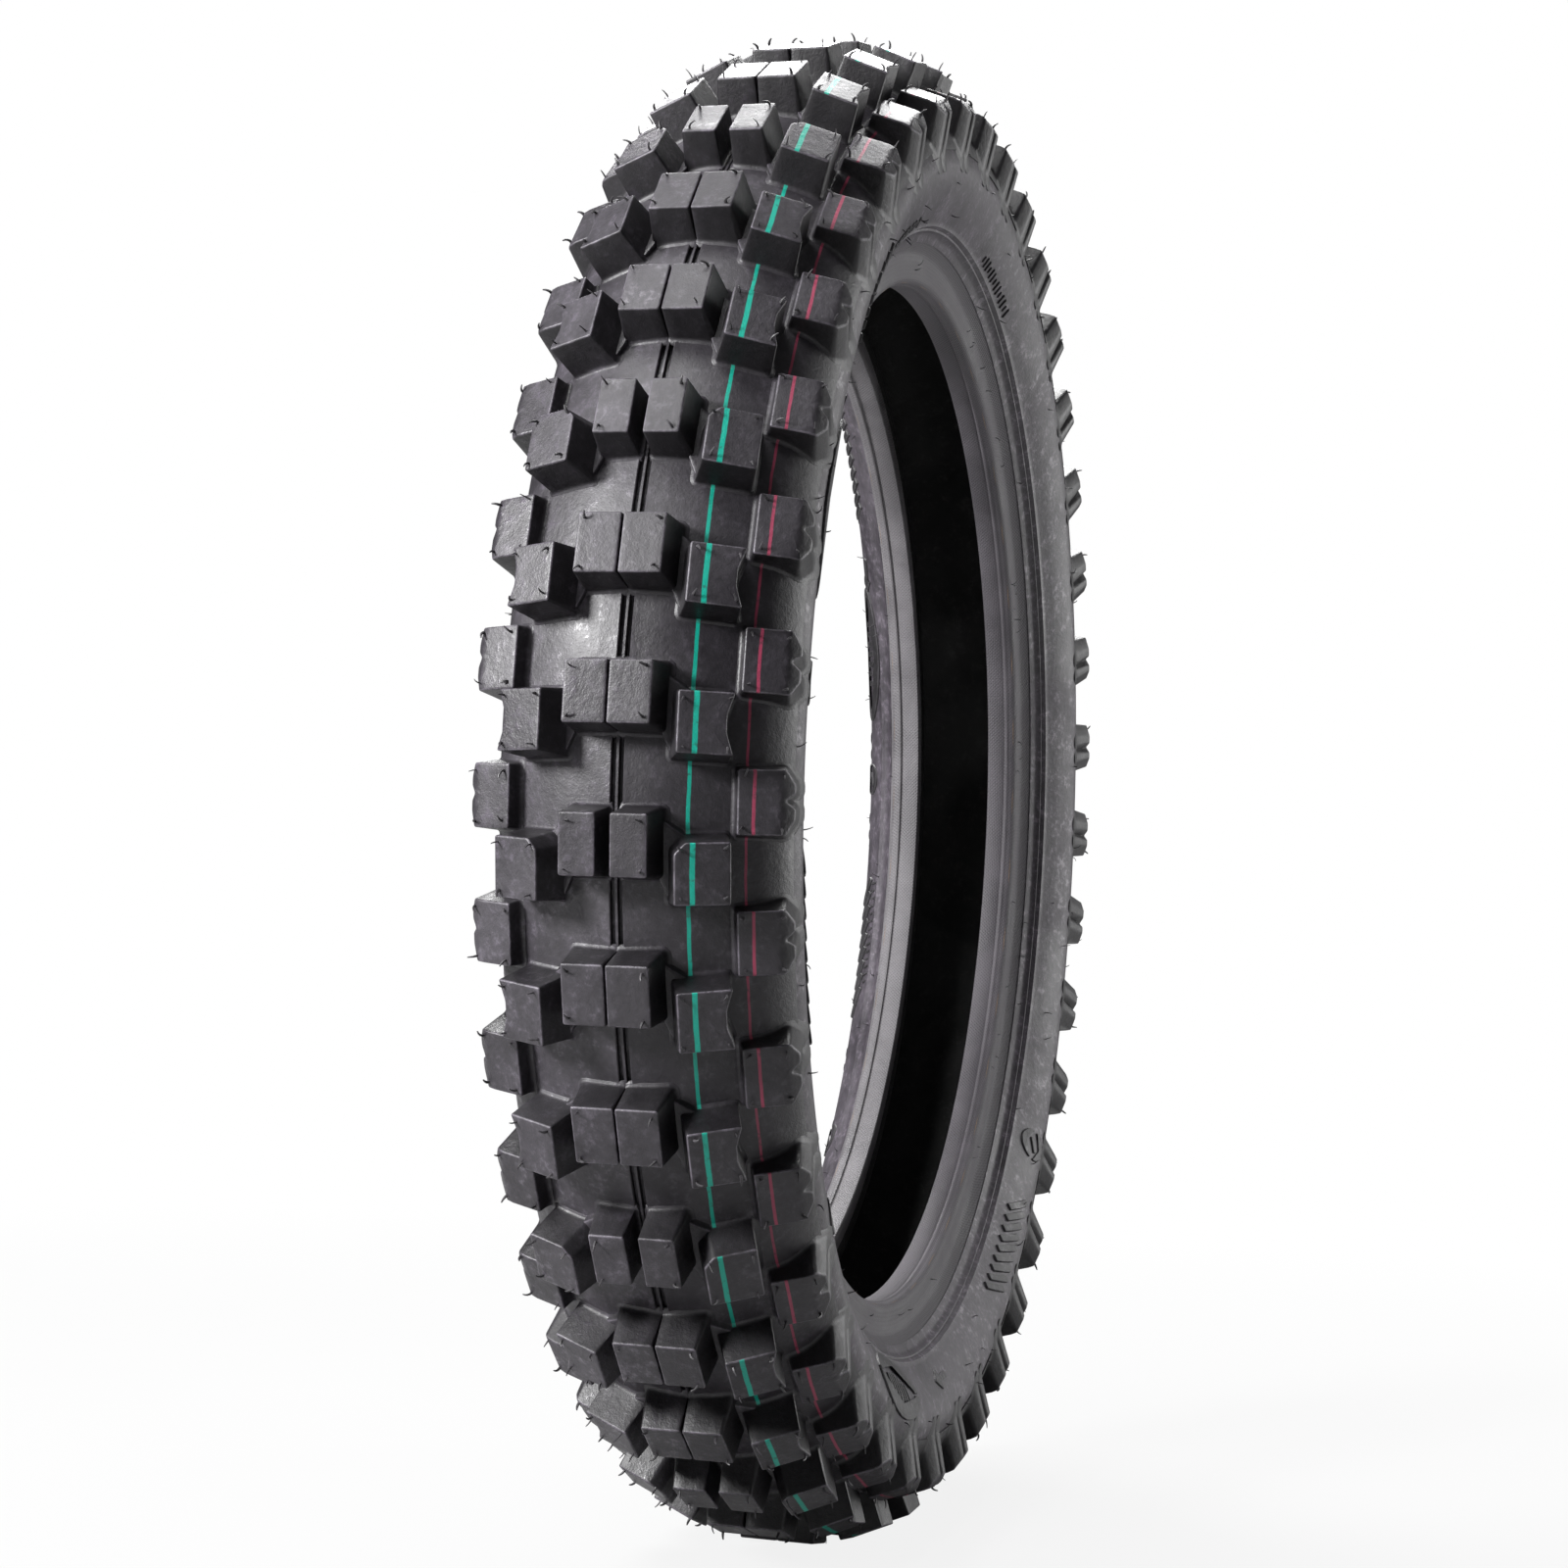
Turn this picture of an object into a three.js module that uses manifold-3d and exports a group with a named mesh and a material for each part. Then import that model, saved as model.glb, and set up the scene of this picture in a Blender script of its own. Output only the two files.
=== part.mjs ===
// Off-road motorcycle tire, bias-ply and tube-type, taken apart into the pieces that it is built from.
// Millimetres, +Z up. The axle runs along Y, the origin is the wheel's centre, and the tire stands
// on the middle of a centre block. Section points are [radius, place along the axle].

import * as THREE from 'three';
import { mergeVertices } from 'three/addons/utils/BufferGeometryUtils.js';
import Module from 'manifold-3d';

const wasm = await Module();
wasm.setup();

// Overall sizes
const overallDiameter = 666;
const sectionWidth = 114;
const rimSeatDiameter = 457;
const toeSpacing = 38;
const beadWidth = 15;

// Shape of the section: how far above the bead base it is widest, how far over the crown stays
// flat, where the shoulder starts to drop, how full the flank stays below the widest place and
// how softly it runs into the bead, and the two faces of the bead
const widestHeight = 51.5;
const crownFlatness = 0.56;
const shoulderDrop = 12;
const flankFullness = 0.55;
const beadApproach = { rise: 0.3, spread: 0.25 };
const beadInnerHeight = 14;
const beadInnerLean = 1.5;
const flangeFaceHeight = 13;

// Layers, from the inside out, and the clearance between two neighbours
const clearance = 0.3;
const linerThickness = 1.0;
const plyThickness = 0.8;
const breakerThickness = 0.8;
const undertreadThickness = 1.2;
const treadBaseThickness = 2.6;
const sidewallThickness = 3.0;
const wingThickness = 4.0;
const chaferThickness = 1.2;
const beadWrapThickness = 0.7;
const beadCoreHeight = 5.6;
const fillerTipThickness = 1.2;

// Tread pattern: every pitch has one centre block, two intermediate knobs and two shoulder knobs.
// A knob's place is where it stands on the casing line, its tilt is how far it leans outwards
// (degrees), and its lag is how far it stands behind the centre block, as a share of the pitch.
const pitchCount = 39;
const grooveEvery = 3;
const grooveWidth = 4.5;
const knobDraft = THREE.MathUtils.degToRad(6);
const knobRoot = 7.5;
const centreBlock = { length: 22.4, width: 32.6, height: 15 };
const intermediateKnob = { length: 22, width: 20, height: 15.7, place: 1.262, tilt: 23, lag: 0.184 };
const shoulderKnob = { length: 23.2, width: 20.3, height: 9.9, place: 2.156, tilt: 20, lag: -0.293 };

const pitchAngle = (2 * Math.PI) / pitchCount;
const outerRadius = overallDiameter / 2;
const bottom = -Math.PI / 2;

// Each flat of the rings starts this share of a pitch before a centre block, so that it holds
// the block and the knobs beside it whole.
const flatStart = 0.46;

// Distances from the inner face of the first ply, outwards
const secondPly = plyThickness + clearance;
const overPlies = secondPly + plyThickness + clearance;
const secondBreaker = overPlies + breakerThickness + clearance;
const undertreadInner = secondBreaker + breakerThickness + clearance;
const treadInner = undertreadInner + undertreadThickness + clearance;
const treadFloor = treadInner + treadBaseThickness;
const turnUpSpan = overPlies * 2 + fillerTipThickness;
const coreDistance = overPlies + beadWrapThickness + clearance;

// Radii where the section is widest, and at the bead: the casing line under it, and its core's top
const widestRadius = rimSeatDiameter / 2 + widestHeight;
const seatRadius = rimSeatDiameter / 2 + chaferThickness + clearance;
const coreTop = seatRadius + coreDistance + beadCoreHeight;

const point = (radius, axial) => new THREE.Vector2(radius, axial);
const mirrored = (p) => point(p.x, -p.y);

function bezier(start, startHandle, endHandle, end, shares) {
  const curve = new THREE.CubicBezierCurve(start, startHandle, endHandle, end);
  return shares.map((share) => curve.getPoint(share));
}

// Inner face of the first ply on the +Y side: over the crown, down the sidewall, round the bead
// and up again beside it. Its knots are numbered from the crown, and section places are given
// as a number along it and a distance outwards from it.
function casingKnots() {
  const crownRadius = outerRadius - centreBlock.height - treadFloor;
  const widest = point(widestRadius, sectionWidth / 2 - sidewallThickness - overPlies);
  const toe = toeSpacing / 2 + chaferThickness + clearance;
  const heel = toeSpacing / 2 + beadWidth - chaferThickness - clearance;
  const beadTop = point(seatRadius + beadInnerHeight, toe + beadInnerLean);
  const crown = bezier(
    point(crownRadius, 0),
    point(crownRadius, widest.y * crownFlatness),
    point(widest.x + shoulderDrop, widest.y),
    widest,
    [0, 0.24, 0.58, 1],
  );
  const rise = widest.x - beadTop.x;
  const spread = widest.y - beadTop.y;
  const flank = bezier(
    widest,
    point(widest.x - flankFullness * rise, widest.y),
    point(beadTop.x + beadApproach.rise * rise, beadTop.y + beadApproach.spread * spread),
    beadTop,
    [0.5],
  );
  return [
    ...crown,
    ...flank,
    beadTop,
    point(seatRadius, toe),
    point(seatRadius, heel),
    point(seatRadius + flangeFaceHeight, heel),
  ];
}

const knots = casingKnots();
const widestKnot = 3;
const flankKnot = 4;
const beadTopKnot = 5;
const toeKnot = 6;
const heelKnot = 7;
const flangeKnot = 8;
const turnUpKnot = 9;

function normalOf(from, to) {
  const along = to.clone().sub(from).normalize();
  return point(along.y, -along.x);
}

function offsetKnot(index, distance) {
  const here = knots[index];
  const before = index > 0 ? knots[index - 1] : mirrored(knots[1]);
  const normal = normalOf(before, here);
  if (index < knots.length - 1) {
    const next = normalOf(here, knots[index + 1]);
    const miter = normal.add(next).normalize();
    return here.clone().addScaledVector(miter, distance / miter.dot(next));
  }
  return here.clone().addScaledVector(normal, distance);
}

function at(place, distance) {
  const index = Math.min(Math.floor(place), knots.length - 2);
  const from = offsetKnot(index, distance);
  return from.lerp(offsetKnot(index + 1, distance), place - index);
}

// The turned-up ply ends beside the flank, on the far side of the bead filler.
knots.push(at(flankKnot, turnUpSpan));

// Whole knots between two places, with the two places themselves
function places(from, to) {
  const between = [...knots.keys()].filter((index) => index > from && index < to);
  return [from, ...between, to];
}

const line = (from, to, distance) => places(from, to).map((place) => at(place, distance));

// A band on one side, between two distances from the casing line
function strip(from, to, inner, outer) {
  return [...line(from, to, outer), ...line(from, to, inner).reverse()];
}

// A band over the crown, reaching the same place on both sides
function overCrown(outerLine, innerLine) {
  return [
    ...outerLine.slice(1).reverse().map(mirrored),
    ...outerLine,
    ...innerLine.slice(1).reverse(),
    ...innerLine.map(mirrored),
  ];
}

function crownBand(to, inner, outer) {
  return overCrown(line(0, to, outer), line(0, to, inner));
}

// Ring of one closed section round the axle
function ring(section) {
  const clockwise = THREE.ShapeUtils.area(section) < 0;
  const outline = clockwise ? [...section].reverse() : section;
  const startAngle = Math.PI - (flatStart * 2 * Math.PI) / pitchCount;
  return new THREE.LatheGeometry([...outline, outline[0].clone()], pitchCount, startAngle);
}

function toSolid(geometry) {
  const bare = geometry.clone();
  bare.deleteAttribute('normal');
  bare.deleteAttribute('uv');
  const merged = mergeVertices(bare, 1e-4);
  const mesh = new wasm.Mesh({
    numProp: 3,
    vertProperties: new Float32Array(merged.attributes.position.array),
    triVerts: new Uint32Array(merged.index.array),
  });
  return new wasm.Manifold(mesh);
}

function toGeometry(solid) {
  const mesh = solid.getMesh();
  const geometry = new THREE.BufferGeometry();
  geometry.setAttribute('position', new THREE.BufferAttribute(mesh.vertProperties, 3));
  geometry.setIndex(new THREE.BufferAttribute(mesh.triVerts, 1));
  geometry.computeVertexNormals();
  return geometry;
}

// A knob with drafted flanks: it stands on a foot point of the tread's floor and leans outwards by
// the tilt. Its root reaches into the tread's base, where it is trimmed.
function knob({ angle, foot, tilt, length, width, height }) {
  const depth = height + knobRoot;
  const spread = depth * Math.tan(knobDraft);
  const geometry = new THREE.BoxGeometry(length, width, depth);
  const position = geometry.attributes.position;
  for (let i = 0; i < position.count; i += 1) {
    if (position.getZ(i) < 0) {
      position.setX(i, position.getX(i) + Math.sign(position.getX(i)) * spread);
      position.setY(i, position.getY(i) + Math.sign(position.getY(i)) * spread);
    }
  }
  geometry.translate(0, 0, height - depth / 2);
  geometry.rotateX(-tilt);
  geometry.translate(0, foot.y, foot.x);
  geometry.rotateY(Math.PI / 2 - angle);
  return toSolid(geometry);
}

function centreBlocks(angle, pitch) {
  const floor = outerRadius - centreBlock.height;
  if (pitch % grooveEvery !== 0) {
    return [knob({ ...centreBlock, angle, foot: point(floor, 0), tilt: 0 })];
  }
  const width = (centreBlock.width - grooveWidth) / 2;
  const axial = (grooveWidth + width) / 2;
  return [-axial, axial].map((place) =>
    knob({ ...centreBlock, angle, foot: point(floor, place), tilt: 0, width }),
  );
}

function sideKnobs(row, blockAngle) {
  const foot = at(row.place, treadFloor);
  const angle = blockAngle - row.lag * pitchAngle;
  const tilt = THREE.MathUtils.degToRad(row.tilt);
  return [
    knob({ ...row, angle, foot, tilt }),
    knob({ ...row, angle, foot: mirrored(foot), tilt: -tilt }),
  ];
}

function treadKnobs() {
  const solids = [];
  for (let pitch = 0; pitch < pitchCount; pitch += 1) {
    const angle = bottom + pitch * pitchAngle;
    solids.push(...centreBlocks(angle, pitch));
    solids.push(...sideKnobs(intermediateKnob, angle));
    solids.push(...sideKnobs(shoulderKnob, angle));
  }
  return solids.reduce((whole, solid) => whole.add(solid));
}

// Places on the casing line: where the crown's layers stop, where the tread's wing meets the
// sidewall, and where the layers at the bead start and end
const breakerEnd = 1.85;
const undertreadEnd = 2.05;
const treadStep = 2.1;
const wingEnd = 2.62;
const sidewallStart = wingEnd + 0.02;
const sidewallEnd = turnUpKnot - 0.5;
const chaferEnd = sidewallEnd - 0.04;
const linerEnd = beadTopKnot + 0.35;
const chaferStart = linerEnd + 0.03;
const flankStop = flankKnot - 0.03;
const secondTurnUp = turnUpKnot - 0.3;
const fillerTip = turnUpKnot - 0.1;

// The tread's base with its knobs, hollowed out where the layers under it lie
function treadGeometry() {
  const wing = at(wingEnd, overPlies + wingThickness);
  const outerLine = [...line(0, 2, treadFloor), wing];
  const base = toSolid(ring(overCrown(outerLine, line(0, wingEnd, 0))));
  const pastWing = wingEnd + 0.1;
  const innerLine = [...line(0, treadStep, treadInner), ...line(treadStep, pastWing, overPlies)];
  const hollow = toSolid(ring(overCrown(innerLine, line(0, pastWing, -knobRoot - clearance))));
  return toGeometry(base.add(treadKnobs()).subtract(hollow));
}

function sidewallSection() {
  const widest = point(widestRadius, sectionWidth / 2);
  const inner = [
    at(sidewallStart, overPlies),
    at(widestKnot, overPlies),
    at(flankStop, overPlies),
    at(flankStop, turnUpSpan + clearance),
    at(turnUpKnot, -clearance),
    at(sidewallEnd, -clearance),
  ];
  const outer = [
    at(sidewallEnd, -clearance - chaferThickness),
    at(flankKnot, turnUpSpan + clearance + chaferThickness),
    widest,
    at(sidewallStart, overPlies + wingThickness),
  ];
  return [...inner, ...outer];
}

// Where the casing line's segment from one knot to the next crosses a radius
function crossing(index, distance, radius) {
  const from = offsetKnot(index, distance);
  const to = offsetKnot(index + 1, distance);
  return from.clone().lerp(to, (radius - from.x) / (to.x - from.x));
}

// A U under the bead core, open upwards, at one distance from the casing line
function beadCup(distance, rim) {
  return [
    crossing(beadTopKnot, distance, rim),
    at(toeKnot, distance),
    at(heelKnot, distance),
    crossing(heelKnot, distance, rim),
  ];
}

function beadWrapSection() {
  const inner = beadCup(overPlies + beadWrapThickness, coreTop);
  return [...beadCup(overPlies, coreTop), ...inner.reverse()];
}

function beadFillerSection() {
  return [
    crossing(heelKnot, overPlies, coreTop + clearance),
    at(flangeKnot, overPlies),
    at(fillerTip, overPlies),
    at(flankKnot, overPlies),
    at(beadTopKnot, overPlies),
    crossing(beadTopKnot, overPlies, coreTop + clearance),
  ];
}

const materials = {
  treadRubber: { color: 0x47454a, roughness: 0.62, metalness: 0 },
  sidewallRubber: { color: 0x55535a, roughness: 0.55, metalness: 0 },
  undertreadRubber: { color: 0x2f2e31, roughness: 0.7, metalness: 0 },
  fillerRubber: { color: 0x262528, roughness: 0.65, metalness: 0 },
  linerRubber: { color: 0x1b1a1c, roughness: 0.5, metalness: 0 },
  chaferFabric: { color: 0x4e4b4e, roughness: 0.85, metalness: 0 },
  breakerCord: { color: 0x7d6247, roughness: 0.8, metalness: 0 },
  plyCord: { color: 0x8b6b49, roughness: 0.8, metalness: 0 },
  wrapFabric: { color: 0x6d6250, roughness: 0.9, metalness: 0 },
  beadSteel: { color: 0xb08a5a, roughness: 0.35, metalness: 1 },
};

const tire = new THREE.Group();

function addPiece(name, geometry, material) {
  const mesh = new THREE.Mesh(geometry, new THREE.MeshStandardMaterial(materials[material]));
  mesh.name = name;
  tire.add(mesh);
}

function addPair(name, section, material) {
  addPiece(`${name}_right`, ring(section), material);
  addPiece(`${name}_left`, ring(section.map(mirrored)), material);
}

addPiece('tread', treadGeometry(), 'treadRubber');
addPiece(
  'undertread',
  ring(crownBand(undertreadEnd, undertreadInner, undertreadInner + undertreadThickness)),
  'undertreadRubber',
);
addPiece(
  'breaker_ply_2',
  ring(crownBand(breakerEnd, secondBreaker, secondBreaker + breakerThickness)),
  'breakerCord',
);
addPiece(
  'breaker_ply_1',
  ring(crownBand(breakerEnd, overPlies, overPlies + breakerThickness)),
  'breakerCord',
);
addPiece('body_ply_2', ring(crownBand(secondTurnUp, secondPly, secondPly + plyThickness)), 'plyCord');
addPiece('body_ply_1', ring(crownBand(turnUpKnot, 0, plyThickness)), 'plyCord');
addPiece('inner_liner', ring(crownBand(linerEnd, -clearance - linerThickness, -clearance)), 'linerRubber');
addPair('sidewall', sidewallSection(), 'sidewallRubber');
addPair('chafer', strip(chaferStart, chaferEnd, -clearance, -clearance - chaferThickness), 'chaferFabric');
addPair('bead_filler', beadFillerSection(), 'fillerRubber');
addPair('bead_wrap', beadWrapSection(), 'wrapFabric');
addPair('bead_core', beadCup(coreDistance, coreTop), 'beadSteel');

export default tire;
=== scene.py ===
import math
import random

import bpy
import numpy as np
from mathutils import Matrix, Vector


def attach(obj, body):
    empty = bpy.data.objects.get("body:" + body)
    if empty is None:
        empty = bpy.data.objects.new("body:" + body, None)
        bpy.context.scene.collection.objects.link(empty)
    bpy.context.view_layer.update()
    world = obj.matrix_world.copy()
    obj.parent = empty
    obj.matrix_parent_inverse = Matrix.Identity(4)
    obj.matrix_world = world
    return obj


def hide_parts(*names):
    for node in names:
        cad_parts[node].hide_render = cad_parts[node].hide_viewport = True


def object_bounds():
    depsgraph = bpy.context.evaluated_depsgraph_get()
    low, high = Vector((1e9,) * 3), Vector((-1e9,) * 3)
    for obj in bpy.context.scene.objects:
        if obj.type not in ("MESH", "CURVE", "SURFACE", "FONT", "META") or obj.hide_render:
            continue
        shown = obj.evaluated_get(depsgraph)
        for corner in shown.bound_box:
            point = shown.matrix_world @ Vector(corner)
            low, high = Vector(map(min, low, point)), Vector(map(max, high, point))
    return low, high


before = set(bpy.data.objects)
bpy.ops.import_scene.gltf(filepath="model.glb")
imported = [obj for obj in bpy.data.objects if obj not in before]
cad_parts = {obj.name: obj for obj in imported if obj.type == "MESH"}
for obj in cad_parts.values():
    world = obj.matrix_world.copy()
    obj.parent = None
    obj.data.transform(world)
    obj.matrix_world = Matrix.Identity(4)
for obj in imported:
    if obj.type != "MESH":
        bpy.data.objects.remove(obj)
cad_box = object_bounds()

MM = 0.001
PITCHES = 39
PITCH = 2 * math.pi / PITCHES
BOTTOM = -math.pi / 2
GROOVE_EVERY = 3
RING_SEGMENTS = PITCHES * 16
# Angle, in degrees, over which a smooth surface shows an edge
SHARP_ANGLE = 38

# Outline of the rubber from the crown's middle to the widest place, without the middle slots
FLOOR_LINE = [
    (318.1, 0.0), (317.0, 12.0), (314.2, 23.4), (308.6, 36.0), (302.6, 46.2),
    (296.2, 51.6), (289.0, 55.2), (281.6, 57.0),
]
# Two more points past the widest place, so that a knob's flank always finds the floor
PAST_WIDEST = [(270.0, 58.5), (246.0, 60.5)]
# The rib in the middle of the floor and the slot beside it
RIB_TOP = 318.0
RIB_HALF = 0.55
SLOT_OUTER = 2.3
SLOT_BOTTOM = 316.1

# Knob rows: the middle of the top face, how far it leans outwards in degrees, its size, and how
# far it lags behind the centre block as a share of a pitch. A bend is a place across the top face
# and how steeply the face falls away beyond it; NO_BEND lies past every knob's edge.
NO_BEND = (99.0, 0.0)
CENTRE = {"top": (333.0, 0.0), "half_length": 11.2, "half_width": 16.3, "slit": 0.7, "groove": 5.4}
INTERMEDIATE = {
    "top": (326.6, 34.7), "tilt": 23.2, "half_length": 11.0, "half_width": 10.0, "lag": 0.184,
    "bend": NO_BEND,
}
SHOULDER = {
    "top": (308.9, 52.6), "tilt": 20.0, "half_length": 11.6, "half_width": 10.4, "lag": -0.293,
    "bend": (5.2, 0.75),
}
CORNER_RADIUS = 0.95


# ---------------------------------------------------------------- curves and outlines

def smooth(points, per=6):
    """A Catmull-Rom curve through the points."""
    p = np.array(points, float)
    p = np.vstack([2 * p[0] - p[1], p, 2 * p[-1] - p[-2]])
    out = []
    for i in range(1, len(p) - 2):
        for t in np.arange(per) / per:
            out.append(0.5 * (
                2 * p[i] + (p[i + 1] - p[i - 1]) * t
                + (2 * p[i - 1] - 5 * p[i] + 4 * p[i + 1] - p[i + 2]) * t ** 2
                + (3 * p[i] - p[i - 1] - 3 * p[i + 1] + p[i + 2]) * t ** 3
            ))
    out.append(p[-2])
    return np.array(out)


def mirrored(points):
    """The same section points on the other side of the tire."""
    return np.array(points) * (1, -1)


floor_curve = smooth(FLOOR_LINE)
floor_table = np.vstack([floor_curve, PAST_WIDEST])


def floor_radius(axial):
    """Radius of the tread's floor at a place along the axle."""
    return np.interp(np.abs(axial), floor_table[:, 1], floor_table[:, 0])


def rounded(corners, radius, step=3.0, arc=3):
    """A closed outline with its corners rounded and its long edges divided."""
    p = np.array(corners, float)
    out = []
    for i, here in enumerate(p):
        before, after = p[i - 1], p[(i + 1) % len(p)]
        cut = min(radius, 0.4 * np.linalg.norm(before - here), 0.4 * np.linalg.norm(after - here))
        start = here + (before - here) / np.linalg.norm(before - here) * cut
        end = here + (after - here) / np.linalg.norm(after - here) * cut
        for t in np.linspace(0, 1, arc + 1):
            out.append((1 - t) ** 2 * start + 2 * t * (1 - t) * here + t ** 2 * end)
        follow = p[(i + 2) % len(p)]
        next_cut = min(radius, 0.4 * np.linalg.norm(after - here), 0.4 * np.linalg.norm(follow - after))
        stop = after + (here - after) / np.linalg.norm(here - after) * next_cut
        pieces = max(1, int(np.linalg.norm(stop - end) // step))
        for t in np.linspace(0, 1, pieces + 1)[1:-1]:
            out.append(end + (stop - end) * t)
    return np.array(out)


def outward(outline):
    """At each point of an anticlockwise outline, the step that moves both its edges out by one."""
    edge = np.roll(outline, -1, axis=0) - outline
    edge /= np.linalg.norm(edge, axis=1)[:, None]
    normal = np.stack([edge[:, 1], -edge[:, 0]], axis=1)
    miter = normal + np.roll(normal, 1, axis=0)
    miter /= np.linalg.norm(miter, axis=1)[:, None]
    return miter / np.maximum((miter * normal).sum(1), 0.6)[:, None]


# ---------------------------------------------------------------- mesh building

class Shell:
    """Collects vertices and faces in millimetres, with a value per vertex that marks rims for wear and
    painted highlight.
    """

    def __init__(self):
        self.vertices, self.faces, self.rim, self.count = [], [], [], 0

    def add(self, vertices, faces, rim=0.0):
        """Add one closed mesh."""
        self.vertices.append(np.asarray(vertices, float))
        self.faces.extend([tuple(v + self.count for v in face) for face in faces])
        self.rim.append(np.broadcast_to(np.asarray(rim, float), len(vertices)))
        self.count += len(vertices)

    def add_ring(self, section, segments=RING_SEGMENTS):
        """A closed section turned round the axle. The section runs anticlockwise in (axial, radius)."""
        section = np.asarray(section, float)
        axial, radius = section[:, 1], section[:, 0]
        turn = np.sum(axial * np.roll(radius, -1) - np.roll(axial, -1) * radius)
        if turn < 0:
            axial, radius = axial[::-1], radius[::-1]
        n = len(section)
        angle = np.arange(segments) * 2 * math.pi / segments
        x = np.outer(np.cos(angle), radius)
        z = np.outer(np.sin(angle), radius)
        y = np.broadcast_to(axial, x.shape)
        faces = []
        for i in range(segments):
            j = (i + 1) % segments
            for k in range(n):
                m = (k + 1) % n
                faces.append((i * n + k, j * n + k, j * n + m, i * n + m))
        self.add(np.stack([x, y, z], axis=-1).reshape(-1, 3), faces)

    def add_stack(self, rings, rim):
        """Rings of equal count from the top down, closed by a fan at the top and a face below."""
        rings = np.asarray(rings, float)
        count, n = rings.shape[:2]
        faces = []
        for i in range(count - 1):
            for k in range(n):
                m = (k + 1) % n
                faces.append((i * n + k, (i + 1) * n + k, (i + 1) * n + m, i * n + m))
        top = count * n
        faces.extend((top, k, (k + 1) % n) for k in range(n))
        faces.append(tuple((count - 1) * n + k for k in reversed(range(n))))
        vertices = np.vstack([rings.reshape(-1, 3), rings[0].mean(0)])
        self.add(vertices, faces, np.append(np.repeat(rim, n), 0.0))

    def mesh_object(self, name):
        """The collected meshes as one object in metres."""
        mesh = bpy.data.meshes.new(name)
        mesh.from_pydata(np.vstack(self.vertices) * MM, [], self.faces)
        mesh.polygons.foreach_set("use_smooth", [True] * len(mesh.polygons))
        attribute = mesh.attributes.new("rim", "FLOAT", "POINT")
        attribute.data.foreach_set("value", np.concatenate(self.rim).astype(np.float32))
        mesh.set_sharp_from_angle(angle=math.radians(SHARP_ANGLE))
        obj = bpy.data.objects.new(name, mesh)
        bpy.context.scene.collection.objects.link(obj)
        return obj


def place(points, angle):
    """Local (radius, along, axial) points, along being the way round, as X, Y, Z."""
    radius, along, axial = np.moveaxis(np.asarray(points, float), -1, 0)
    x = radius * math.cos(angle) - along * math.sin(angle)
    z = radius * math.sin(angle) + along * math.cos(angle)
    return np.stack([x, axial, z], axis=-1)


def finish_piece(shell, name, material, slot, *nodes):
    """Make a piece of the shell, with its material, in place of the named nodes. The slot is not used."""
    piece = shell.mesh_object(name)
    piece.data.materials.append(material)
    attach(piece, "root")
    if nodes:
        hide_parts(*nodes)
    return piece


# ---------------------------------------------------------------- node materials

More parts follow.
